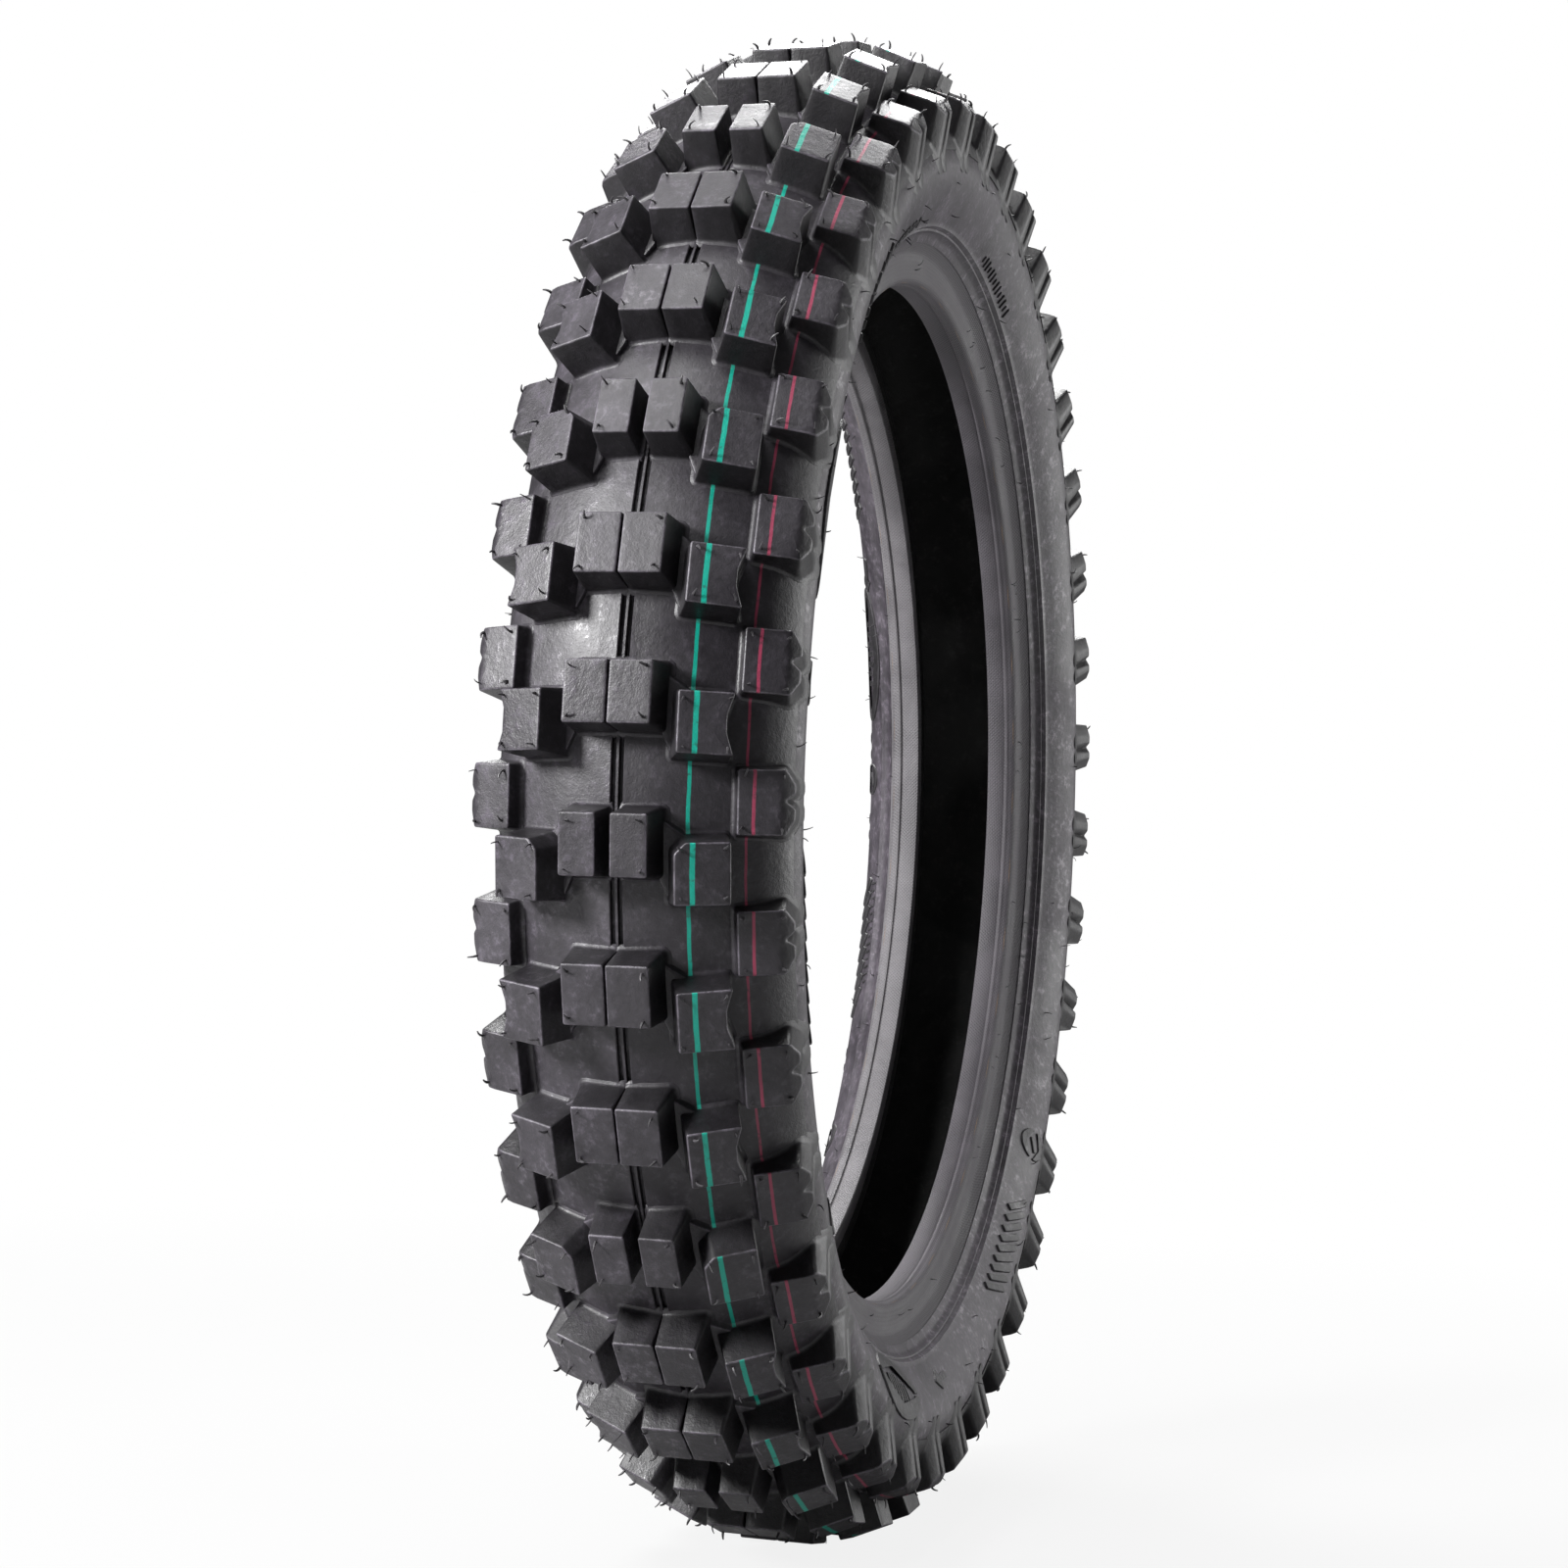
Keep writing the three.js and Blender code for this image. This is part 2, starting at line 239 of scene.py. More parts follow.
class Graph:
    """Short ways to add the nodes of one material."""

    def __init__(self, name):
        self.material = bpy.data.materials.new(name)
        self.material.use_nodes = True
        self.nodes = self.material.node_tree.nodes
        self.links = self.material.node_tree.links
        self.nodes.clear()
        output = self.nodes.new("ShaderNodeOutputMaterial")
        self.shader = self.nodes.new("ShaderNodeBsdfPrincipled")
        self.links.new(self.shader.outputs["BSDF"], output.inputs["Surface"])
        self.object_place = self.nodes.new("ShaderNodeTexCoord").outputs["Object"]

    def put(self, socket, value):
        """Link a socket to another, or set it to a number or colour."""
        if isinstance(value, bpy.types.NodeSocket):
            self.links.new(value, socket)
        else:
            socket.default_value = value

    def math(self, operation, a, b=0.0, clamp=False):
        """A sum on one or two numbers or sockets."""
        node = self.nodes.new("ShaderNodeMath")
        node.operation = operation
        node.use_clamp = clamp
        for socket, value in zip(node.inputs, (a, b)):
            self.put(socket, value)
        return node.outputs[0]

    def noise(self, scale, detail=4.0, roughness=0.55, distortion=0.0):
        """Noise whose scale is in features per metre."""
        node = self.nodes.new("ShaderNodeTexNoise")
        self.put(node.inputs["Vector"], self.object_place)
        settings = {"Scale": scale, "Detail": detail, "Roughness": roughness, "Distortion": distortion}
        for key, value in settings.items():
            node.inputs[key].default_value = value
        return node.outputs["Fac"]

    def span(self, value, low, high, to_low=0.0, to_high=1.0):
        """A smooth step from one value to another as the input goes from low to high."""
        node = self.nodes.new("ShaderNodeMapRange")
        node.interpolation_type = "SMOOTHSTEP"
        settings = {
            "Value": value, "From Min": low, "From Max": high, "To Min": to_low, "To Max": to_high,
        }
        for key, number in settings.items():
            self.put(node.inputs[key], number)
        return node.outputs["Result"]

    def blend(self, share, first, second):
        """A colour between two, each a colour or a socket."""
        node = self.nodes.new("ShaderNodeMix")
        node.data_type = "RGBA"
        self.put(node.inputs[0], share)
        self.put(node.inputs[6], first if isinstance(first, bpy.types.NodeSocket) else (*first, 1.0))
        self.put(node.inputs[7], second if isinstance(second, bpy.types.NodeSocket) else (*second, 1.0))
        return node.outputs[2]

    def attribute(self, name):
        """A value that the mesh holds at each vertex."""
        node = self.nodes.new("ShaderNodeAttribute")
        node.attribute_name = name
        return node.outputs["Fac"]

    def xyz(self):
        """The place on the object, in metres, as three sockets."""
        node = self.nodes.new("ShaderNodeSeparateXYZ")
        self.links.new(self.object_place, node.inputs[0])
        return node.outputs

    def radius(self):
        """Distance from the axle."""
        x, _, z = self.xyz()
        return self.math("SQRT", self.math("ADD", self.math("MULTIPLY", x, x), self.math("MULTIPLY", z, z)))

    def vector(self, operation, a, b=None):
        """A sum on one or two vectors or sockets."""
        node = self.nodes.new("ShaderNodeVectorMath")
        node.operation = operation
        self.put(node.inputs[0], a)
        if b is not None:
            self.put(node.inputs[1], b)
        return node.outputs["Value" if operation in ("DOT_PRODUCT", "LENGTH") else "Vector"]

    def facing_out(self):
        """How far a surface faces straight away from the axle, from -1 to 1."""
        across_axle = self.vector("MULTIPLY", self.object_place, (1.0, 0.0, 1.0))
        from_axle = self.vector("NORMALIZE", across_axle)
        normal = self.nodes.new("ShaderNodeNewGeometry").outputs["Normal"]
        return self.vector("DOT_PRODUCT", from_axle, normal)

    def bump(self, height, strength, distance):
        """Raise the surface by a height, given the distance in metres that a height of 1 stands for."""
        node = self.nodes.new("ShaderNodeBump")
        self.links.new(height, node.inputs["Height"])
        node.inputs["Strength"].default_value = strength
        node.inputs["Distance"].default_value = distance
        self.links.new(node.outputs["Normal"], self.shader.inputs["Normal"])


def line_mask(g, line, y, radius, wobble):
    """Where a painted line runs round the tire: on a cone through its place that leans as the knobs
    stand, so that it drops straight from their tops to the floor."""
    lean = math.radians(line["lean"])
    start = (line["at"][1] * math.cos(lean) - line["at"][0] * math.sin(lean)) * MM
    along_axle = g.math("MULTIPLY", y, math.cos(lean))
    across = g.math("SUBTRACT", along_axle, g.math("MULTIPLY", radius, math.sin(lean)))
    gap = g.math("ABSOLUTE", g.math("ADD", g.math("SUBTRACT", across, start), wobble))
    half = g.span(radius, line["low"] * MM, line["high"] * MM, line["thin"] * MM, line["thick"] * MM)
    return g.math("SUBTRACT", 1.0, g.span(g.math("DIVIDE", gap, half), 0.8, 1.1))


def rubber(name, dark, light, rough, grain=0.3, lines=(), flank=1.0, shaded_half_share=1.0):
    """Moulded rubber: cloudy patches of release film, fine grain, pale specks of dirt with painted sheen,
    rims paler from wear and painted highlight, and stripes.

    The flanks of the knobs keep a share of the colour of their tops as painted shade. The +Y half
    keeps a share of the patches and specks, which paints light on the -Y half that faces the key."""
    dust_and_sheen = tuple(2.0 * channel for channel in light)
    wear_and_highlight = tuple(2.2 * channel for channel in light)
    g = Graph(name)
    y = g.xyz()[1]
    cloud = g.noise(14.0, 5.0, 0.6, 0.8)
    patch = g.noise(120.0, 6.0, 0.75)
    speck = g.noise(420.0, 3.0, 0.6)
    fine = g.noise(1500.0, 2.0, 0.5)
    # Pale patches are fuller on the -Y half, which faces the key: painted light over the patches' own tone
    lit_half_share = g.span(y, -0.004, 0.006, 1.0, shaded_half_share)
    clouded = g.span(cloud, 0.35, 0.68, 0.0, 0.5)
    patched = g.span(patch, 0.38, 0.66, 0.0, 0.6)
    share = g.math("ADD", clouded, patched, clamp=True)
    colour = g.blend(g.math("MULTIPLY", share, lit_half_share), dark, light)
    # Pale, glossier specks: partly dirt, partly a painted sheen of light grazing the floor
    dust_and_sheen_share = g.math("MULTIPLY", g.span(patch, 0.5, 0.62), g.span(speck, 0.45, 0.6))
    dust_and_sheen_share = g.math("MULTIPLY", dust_and_sheen_share, lit_half_share)
    colour = g.blend(g.math("MULTIPLY", dust_and_sheen_share, 0.5), colour, dust_and_sheen)
    facing = g.facing_out()
    # Surfaces that don't face away from the axle, such as the knobs' flanks, go towards black: painted shade
    painted_flank_shade = g.span(facing, 0.25, 0.85, flank, 1.0)
    colour = g.blend(g.math("MULTIPLY", painted_flank_shade, g.span(speck, 0.3, 0.7, 0.72, 1.0)), (0.0, 0.0, 0.0), colour)
    # Rims are paler: partly wear, partly a painted highlight where the edges catch the light
    rim = g.math("MULTIPLY", g.span(g.attribute("rim"), 0.35, 1.0), g.span(patch, 0.4, 0.62, 0.1, 0.7))
    colour = g.blend(rim, colour, wear_and_highlight)
    roughness = g.span(cloud, 0.3, 0.7, rough[0], rough[1])
    roughness = g.math("SUBTRACT", roughness, g.math("MULTIPLY", dust_and_sheen_share, 0.16))
    if lines:
        radius = g.radius()
        wobble = g.math("MULTIPLY", g.math("SUBTRACT", g.noise(55.0, 2.0), 0.5), 0.0012)
        outside = g.span(facing, 0.35, 0.6)
        for line in lines:
            mask = g.math("MULTIPLY", line_mask(g, line, y, radius, wobble), outside)
            mask = g.math("MULTIPLY", mask, g.span(g.noise(380.0, 3.0), 0.28, 0.42, 0.45, 1.0))
            colour = g.blend(mask, colour, line["colour"])
    g.links.new(colour, g.shader.inputs["Base Color"])
    g.links.new(roughness, g.shader.inputs["Roughness"])
    g.shader.inputs["Specular IOR Level"].default_value = 0.5
    height = g.math("ADD", g.math("MULTIPLY", speck, 0.6), g.math("MULTIPLY", fine, 0.25))
    height = g.math("ADD", height, g.math("MULTIPLY", patch, 0.8))
    g.bump(height, grain, 0.0008)
    return g.material


# Radius, in metres, at which the threads of woven layers are true to scale round the tire
MEAN_RADIUS = 0.24


def woven(name, dark, light, rough, threads, strength):
    """Cloth or cord under rubber: two crossed sets of threads round the axle."""
    g = Graph(name)
    x, y, z = g.xyz()
    radius = g.radius()
    round_tire = g.math("MULTIPLY", g.math("ARCTAN2", z, x), MEAN_RADIUS)
    first = g.math("SINE", g.math("MULTIPLY", g.math("ADD", round_tire, y), threads))
    crossing = g.math("SUBTRACT", round_tire, g.math("ADD", y, radius))
    second = g.math("SINE", g.math("MULTIPLY", crossing, threads))
    weave = g.math("MULTIPLY", g.math("ADD", g.math("MAXIMUM", first, second), 1.0), 0.5)
    cloud = g.noise(24.0, 5.0, 0.6, 0.5)
    fine = g.noise(900.0, 3.0)
    share = g.math("ADD", g.math("MULTIPLY", weave, 0.45), g.span(cloud, 0.35, 0.7, 0.0, 0.6), clamp=True)
    g.links.new(g.blend(share, dark, light), g.shader.inputs["Base Color"])
    g.links.new(g.span(cloud, 0.3, 0.7, rough[0], rough[1]), g.shader.inputs["Roughness"])
    g.bump(g.math("ADD", weave, g.math("MULTIPLY", fine, 0.5)), strength, 0.0004)
    return g.material


def wire(name):
    """Bronze-coated bead wire, with the lay of the strands."""
    g = Graph(name)
    y = g.xyz()[1]
    strands = g.math("SINE", g.math("MULTIPLY", g.math("ADD", g.radius(), y), 3600.0))
    tarnish = g.noise(60.0, 4.0, 0.6)
    bronze = g.blend(g.span(tarnish, 0.3, 0.7), (0.42, 0.25, 0.12), (0.55, 0.36, 0.19))
    g.links.new(bronze, g.shader.inputs["Base Color"])
    g.links.new(g.span(tarnish, 0.3, 0.7, 0.28, 0.46), g.shader.inputs["Roughness"])
    g.shader.inputs["Metallic"].default_value = 1.0
    g.bump(strands, 0.4, 0.0004)
    return g.material


# Painted lines: a place on the line, its lean in degrees, the radii between which it thickens from
# the floor to the knobs' tops, and half its thickness at each
TEAL_LINE = {
    "at": (328.1, 31.4), "lean": 23.0, "low": 312.0, "high": 322.0, "thin": 0.72, "thick": 1.0,
    "colour": (0.0, 0.27, 0.2),
}
PINK_LINE = {
    "at": (310.0, 47.8), "lean": 36.0, "low": 300.0, "high": 308.0, "thin": 0.42, "thick": 0.6,
    "colour": (0.22, 0.027, 0.06),
}
# The tread's flanks get painted shade, and its +Y half keeps fewer pale patches: painted light on the -Y half
tread_material = rubber(
    "tread_rubber_look", dark=(0.0165, 0.0142, 0.018), light=(0.05, 0.0445, 0.0545), rough=(0.4, 0.56),
    grain=0.34, lines=(TEAL_LINE, PINK_LINE), flank=0.42, shaded_half_share=0.4)
sidewall_material = rubber(
    "sidewall_rubber_look", dark=(0.024, 0.0205, 0.026), light=(0.084, 0.0725, 0.0885),
    rough=(0.42, 0.6), grain=0.3)
# Near-black rubber for the marks, vent stubs and hairs: painted shade that stands in for their shadows
painted_shade_rubber = rubber(
    "painted_shade_look", dark=(0.009, 0.008, 0.0095), light=(0.026, 0.024, 0.027), rough=(0.45, 0.6), grain=0.3)
bead_material = woven(
    "chafer_look", dark=(0.026, 0.0232, 0.0278), light=(0.076, 0.069, 0.079), rough=(0.5, 0.7),
    threads=3400.0, strength=0.5)
# The left bead is paler: painted light, for the light that reaches it through the hole
lit_bead_material = woven(
    "lit_chafer_look", dark=(0.046, 0.043, 0.047), light=(0.15, 0.142, 0.151), rough=(0.5, 0.7),
    threads=3400.0, strength=0.5)
liner_material = rubber(
    "liner_look", dark=(0.002, 0.002, 0.0022), light=(0.005, 0.0048, 0.005), rough=(0.5, 0.75), grain=0.5)


# ---------------------------------------------------------------- tread

# Rings of a knob from its top face down to its flanks: how far inside the outline, how far below
# the top, and how much wear and painted highlight
RIM_RINGS = [
    (0.85, 0.0, 0.0), (0.55, 0.03, 0.6), (0.32, 0.1, 1.0), (0.13, 0.26, 1.0),
    (0.02, 0.5, 1.0), (0.0, 0.8, 0.4), (0.0, 1.3, 0.0),
]
# Rings inside them on the top face, as shares of its width
CAP_SHARES = (0.3, 0.5, 0.75)
# Rings of its foot: how far outside the flank, and how far above the floor
FOOT_RINGS = [(0.0, 1.9), (0.05, 1.3), (0.3, 0.65), (0.75, 0.22), (1.3, 0.03), (1.8, -0.8)]
# A depth that is below every knob's foot, and the halvings that find the foot from it
DEEPEST = 34.0
HALVINGS = 26


class Knob:
    """A moulded block whose flanks and foot follow the tread's floor."""

    def __init__(self, angle, top, tilt, outline, draft, bend=NO_BEND):
        self.angle = angle
        self.bend = bend
        self.side = -1.0 if top[1] < 0 else 1.0
        lean = math.radians(tilt)
        self.top = top
        self.normal = (math.cos(lean), self.side * math.sin(lean))
        self.across = (-math.sin(lean), self.side * math.cos(lean))
        self.outline = outline
        self.step = outward(outline)
        self.draft = draft(self.step)

    def local(self, flat, depth):
        """Points of the top face, and a depth below it, as (radius, along, axial)."""
        depth = depth + np.clip(flat[:, 1] - self.bend[0], 0, None) * self.bend[1]
        radius = self.top[0] + flat[:, 1] * self.across[0] - depth * self.normal[0]
        axial = self.top[1] + flat[:, 1] * self.across[1] - depth * self.normal[1]
        return np.stack([radius, flat[:, 0], axial], axis=1)

    def flank(self, depth, extra=0.0):
        """The outline at a depth below the top, moved out by an extra distance."""
        spread = self.draft * depth + extra
        return self.local(self.outline + self.step * spread[:, None], depth)

    def foot_depth(self, extra):
        """How far below the top each flank line meets the floor."""
        low, high = np.zeros(len(self.outline)), np.full(len(self.outline), DEEPEST)
        for _ in range(HALVINGS):
            middle = (low + high) / 2
            p = self.flank(middle, extra)
            above = np.hypot(p[:, 0], p[:, 1]) > floor_radius(p[:, 2])
            low, high = np.where(above, middle, low), np.where(above, high, middle)
        return (low + high) / 2

    def rings(self):
        """Rings from the middle of the top face down to the foot, and how much wear and painted highlight
        each takes.
        """
        face = self.outline - self.step * RIM_RINGS[0][0]
        middle = face.mean(0)
        flat = np.zeros(len(face))
        rings = [self.local(middle + (face - middle) * share, flat) for share in CAP_SHARES]
        rim = [0.0] * len(rings)
        for inset, depth, wear_and_highlight in RIM_RINGS:
            edge = self.outline - self.step * inset
            spread = self.draft * depth
            rings.append(self.local(edge + self.step * spread[:, None], np.full(len(edge), depth)))
            rim.append(wear_and_highlight)
        halfway = 0.5 * (RIM_RINGS[-1][1] + self.foot_depth(0.0) - FOOT_RINGS[0][1])
        rings.append(self.flank(halfway))
        rim.append(0.0)
        for extra, height in FOOT_RINGS:
            rings.append(self.flank(self.foot_depth(extra) - height, extra))
            rim.append(0.0)
        return place(rings, self.angle), rim

    def on_top(self, along, across):
        """A point on the top face."""
        point = self.local(np.array([[along, across]]), np.array([0.0]))
        return place(point, self.angle)[0]

    def out(self):
        """The way out of the top face."""
        return place([[self.normal[0], 0.0, self.normal[1]]], self.angle)[0]


def drafts(front, inner, outer):
    """Draft of the flanks that face round the tire, towards the middle and outwards, as a function
    of the way that each point of an outline moves."""
    def draft(step):
        way = step / np.linalg.norm(step, axis=1)[:, None]
        facing_out = np.clip(way[:, 1], 0, 1)
        facing_in = np.clip(-way[:, 1], 0, 1)
        return front * np.abs(way[:, 0]) ** 2 + inner * facing_in ** 2 + outer * facing_out ** 2
    return draft


CENTRE_DRAFT = drafts(0.1, 0.012, 0.1)
INTERMEDIATE_DRAFT = drafts(0.09, 0.04, 0.05)
SHOULDER_DRAFT = drafts(0.1, 0.1, 0.16)
# The notch in the outer edge of most intermediate knobs, and the cut corner of the others
NOTCH_HALF, NOTCH_DEPTH = 3.2, 2.6
CHAMFER = 4.0
# How far the shoulder knobs' outer corners and the notch between their two lobes are cut back
LOBE_SHOULDER, LOBE_NOTCH = 3.6, 3.8


def side_outline(row, kind):
    """Top outline of a side knob as (along, across); across grows outwards."""
    length, width = row["half_length"], row["half_width"]
    if kind == "notched":
        corners = [(-length, width), (-length, -width), (length, -width), (length, width)]
        corners += [(NOTCH_HALF, width - NOTCH_DEPTH), (-NOTCH_HALF, width - NOTCH_DEPTH)]
    elif kind == "chamfered":
        corners = [(-length, width), (-length, -width), (length - CHAMFER, -width)]
        corners += [(length, -width + CHAMFER), (length, width)]
    else:
        shoulder = width - LOBE_SHOULDER
        corners = [(-length, shoulder), (-length, -width), (length, -width), (length, shoulder)]
        corners += [(6.4, width), (3.2, width), (0.6, width - LOBE_NOTCH), (-2.0, width), (-6.0, width)]
    return anticlockwise(rounded(corners, CORNER_RADIUS))


def anticlockwise(outline):
    """The outline, run the other way if it is clockwise."""
    x, y = outline.T
    turn = np.sum(x * np.roll(y, -1) - np.roll(x, -1) * y)
    return outline if turn > 0 else outline[::-1]


def centre_half(angle, side, gap):
    """One half of a centre block, beside the slit or groove in its middle."""
    length, inner, outer = CENTRE["half_length"], gap / 2, CENTRE["half_width"]
    middle = (inner + outer) / 2
    half = (outer - inner) / 2
    corners = [(-length, -half), (length, -half), (length, half), (-length, half)]
    outline = anticlockwise(rounded(corners, CORNER_RADIUS))
    return Knob(angle, (CENTRE["top"][0], side * middle), 0.0, outline, CENTRE_DRAFT)


def side_knob(angle, side, row, kind, draft):
    """A knob of the intermediate or shoulder row."""
    top = (row["top"][0], side * row["top"][1])
    lagging = angle - row["lag"] * PITCH
    return Knob(lagging, top, row["tilt"], side_outline(row, kind), draft, row["bend"])


def tread_knobs():
    """Every knob of the tread with the name of its row."""
    knobs = []
    for pitch in range(PITCHES):
        angle = BOTTOM + pitch * PITCH
        grooved = pitch % GROOVE_EVERY == 0
        gap = CENTRE["groove"] if grooved else CENTRE["slit"]
        kind = "chamfered" if grooved else "notched"
        for side in (1, -1):
            knobs.append(("centre", centre_half(angle, side, gap)))
            knobs.append(("intermediate", side_knob(angle, side, INTERMEDIATE, kind, INTERMEDIATE_DRAFT)))
            knobs.append(("shoulder", side_knob(angle, side, SHOULDER, "lobed", SHOULDER_DRAFT)))
    return knobs


def tread_section():
    """The rubber under the knobs: rib, slots, floor, a wing over each sidewall, and the inner face."""
    half = [(RIB_TOP, 0.0), (RIB_TOP, RIB_HALF - 0.1), (317.85, RIB_HALF), (SLOT_BOTTOM, RIB_HALF + 0.1)]
    half += [(SLOT_BOTTOM, SLOT_OUTER - 0.12), (317.8, SLOT_OUTER), (318.05, SLOT_OUTER + 0.35)]
    half += [tuple(p) for p in floor_curve if p[1] > 5.0 and p[0] > 286.2]
    wing = [(285.8, 56.1), (285.4, 53.4)]
    inner = [(290.4, 50.4), (298.0, 47.2), (301.4, 45.2), (312.6, 22.0), (315.4, 8.0), (315.5, 0.0)]
    outer = half + wing
    other_inner = [(r, -y) for r, y in reversed(inner[:-1])]
    other_outer = [(r, -y) for r, y in reversed(outer[1:])]
    return np.array(outer + inner + other_inner + other_outer)


def bridge_outline():
    """A low web between a centre block and the intermediate knob beside it, as (along, axial)."""
    return rounded([(-12.4, 16.0), (-21.0, 20.0), (-20.0, 26.0), (2.0, 26.0), (9.0, 16.0)], 1.2)


# Rings of a web: how far inside its outline, how far above the floor, and how much wear and painted highlight
BRIDGE_RINGS = [
    (1.6, 2.6, 0.0), (0.6, 2.5, 0.3), (0.2, 2.3, 1.0), (0.0, 1.9, 0.6), (-0.3, 0.4, 0.0), (-1.2, -0.5, 0.0),
]


def add_bridges(shell):
    """The webs of every pitch."""
    outline = anticlockwise(bridge_outline())
    step = outward(outline)
    for pitch in range(PITCHES):
        for side in (1, -1):
            rings = []
            for inset, height, _ in BRIDGE_RINGS:
                flat = outline - step * inset
                radius = floor_radius(flat[:, 1]) + height
                turn = flat[:, 0] / RIB_TOP
                ring = np.stack([radius * np.cos(turn), radius * np.sin(turn), side * flat[:, 1]], axis=1)
                rings.append(ring[::-1] if side > 0 else ring)
            shell.add_stack(place(rings, BOTTOM + pitch * PITCH), [wear_and_highlight for _, _, wear_and_highlight in BRIDGE_RINGS])


# A hair has this many sides and steps, and its foot is sunk this deep
HAIR_SIDES = 5
HAIR_STEPS = 4
HAIR_SUNK = 0.4


def hair(shell, foot, out, lean, length, radius, rng):
    """A vent stub or hair: a thin tapering tube that bends over from its foot."""
    out = np.array(out) / np.linalg.norm(out)
    side = np.cross(out, rng_vector(rng))
    side /= np.linalg.norm(side)
    third = np.cross(out, side)
    angles = np.arange(HAIR_SIDES) * 2 * math.pi / HAIR_SIDES
    rings = []
    spot = np.array(foot, float) - out * HAIR_SUNK
    bend = 0.0
    for i in range(HAIR_STEPS + 1):
        share = i / HAIR_STEPS
        way = out * math.cos(bend) + side * math.sin(bend)
        flat = side * math.cos(bend) - out * math.sin(bend)
        thick = radius * (1.0 - 0.55 * share ** 1.5)
        rings.append(spot + thick * (np.outer(np.cos(angles), flat) + np.outer(np.sin(angles), third)))
        bend += lean / HAIR_STEPS * (1.3 if i == 0 else 0.9)
        spot = spot + way * length / HAIR_STEPS
    rings = rings[::-1]
    turn = np.dot(np.cross(rings[0][1] - rings[0][0], rings[0][2] - rings[0][1]), way)
    if turn < 0:
        rings = [ring[::-1] for ring in rings]
    # Each ring of a hair takes the full rim value: wear and painted highlight along the whole hair
    shell.add_stack(rings, [1.0] * len(rings))


def rng_vector(rng):
    """A vector in a random direction."""
    return np.array([rng.gauss(0, 1) for _ in range(3)])


# Vent stubs stand this far inside the corners, with more room for the shoulder knobs' cut ones
STUB_INSET = 2.3
LOBE_INSET = 2.4
# Cosine of the angle from the bottom within which no stubs stand, so that none reaches below the
# floor
GROUND_COSINE = 0.985


def add_knob_hairs(shell, knobs, rng):
    """Stubs of vent rubber near the corners of the knobs' top faces."""
    for name, knob in knobs:
        low, high = knob.outline.min(0) + STUB_INSET, knob.outline.max(0) - STUB_INSET
        ends = (high[1],) if name == "centre" else (low[1], high[1])
        if math.cos(knob.angle - BOTTOM) > GROUND_COSINE:
            continue
        for along in (low[0], high[0]):
            for across in ends:
                if name == "shoulder" and across > 0:
                    across -= LOBE_INSET
                foot = knob.on_top(along + rng.uniform(-0.5, 0.5), across + rng.uniform(-0.5, 0.5))
                if rng.random() < 0.7:
                    lean, length, thick = rng.uniform(1.0, 1.9), rng.uniform(3.0, 4.6), rng.uniform(0.5, 0.68)
                else:
                    lean, length, thick = rng.uniform(0.2, 1.0), rng.uniform(3.0, 5.2), rng.uniform(0.3, 0.42)
                hair(shell, foot, knob.out(), lean, length, thick, rng)


# ---------------------------------------------------------------- sidewalls and beads

# The skins' sections, each a closed run of (radius, place along the axle): the sidewall's outer
# face, the fine ribs beside the rim, and the inner face
SIDEWALL_OUTER = [
    (287.2, 54.9), (282.8, 56.4), (278.0, 57.0), (271.5, 55.5), (263.0, 51.4), (255.6, 46.6),
]
RIM_BAND = [
    (253.9, 45.4), (253.4, 45.4), (252.9, 44.3), (252.4, 43.3), (251.9, 43.4), (251.4, 43.2), (251.0, 42.2),
    (250.2, 40.9), (249.4, 40.2), (248.2, 39.6), (246.6, 38.5),
]
SIDEWALL_INNER = [(247.0, 37.6), (249.6, 39.3), (254.9, 44.3), (258.0, 42.2), (280.1, 54.6), (286.4, 51.2)]


def sidewall_section():
    """The sidewall from under the tread's wing down to the rim line and back."""
    return np.vstack([smooth(SIDEWALL_OUTER, 5), RIM_BAND, SIDEWALL_INNER])


# The rounded corner of the bead where its flat outer face meets its base
HEEL_RADIUS = 3.9
HEEL_CENTRE = (232.4, 30.1)


def chafer_section():
    """The strip round the bead: outer face, heel, base with one groove, toe, and its back."""
    flange = [(247.4, 38.8), (245.0, 36.6), (243.0, 34.8), (241.6, 34.1), (236.0, 34.0), (232.4, 34.0)]
    heel = [
        (HEEL_CENTRE[0] - HEEL_RADIUS * math.sin(a), HEEL_CENTRE[1] + HEEL_RADIUS * math.cos(a))
        for a in np.linspace(0.2, math.pi / 2, 6)
    ]
    base = [(228.0, 29.6), (227.9, 29.0), (228.1, 28.5), (228.9, 28.1), (229.0, 27.6), (228.6, 27.0)]
    toe = [(228.5, 20.0), (228.7, 19.2), (229.4, 18.85), (234.0, 19.3), (239.6, 19.9)]
    back = [(239.6, 21.0), (229.9, 20.4), (229.9, 32.6), (242.9, 32.7), (247.9, 37.9)]
    return np.array(flange + heel + base + toe + back)


def liner_section():
    """The liner from bead to bead, with a smooth inner face that covers the flats of the ply."""
    inner = smooth([
        (307.3, 0.0), (304.4, 18.6), (293.6, 38.6), (278.6, 47.4), (260.4, 36.6), (246.4, 20.0),
    ], 5)
    inner = np.vstack([inner, [(241.5, 19.4), (238.9, 19.6)]])
    outer = np.array([
        (239.0, 21.0), (244.2, 21.7), (258.8, 39.4), (280.0, 51.3), (296.0, 40.8), (306.4, 19.6),
        (309.1, 0.0),
    ])
    return np.vstack([inner, outer, mirrored(outer[::-1])[1:], mirrored(inner[::-1])[:-1]])


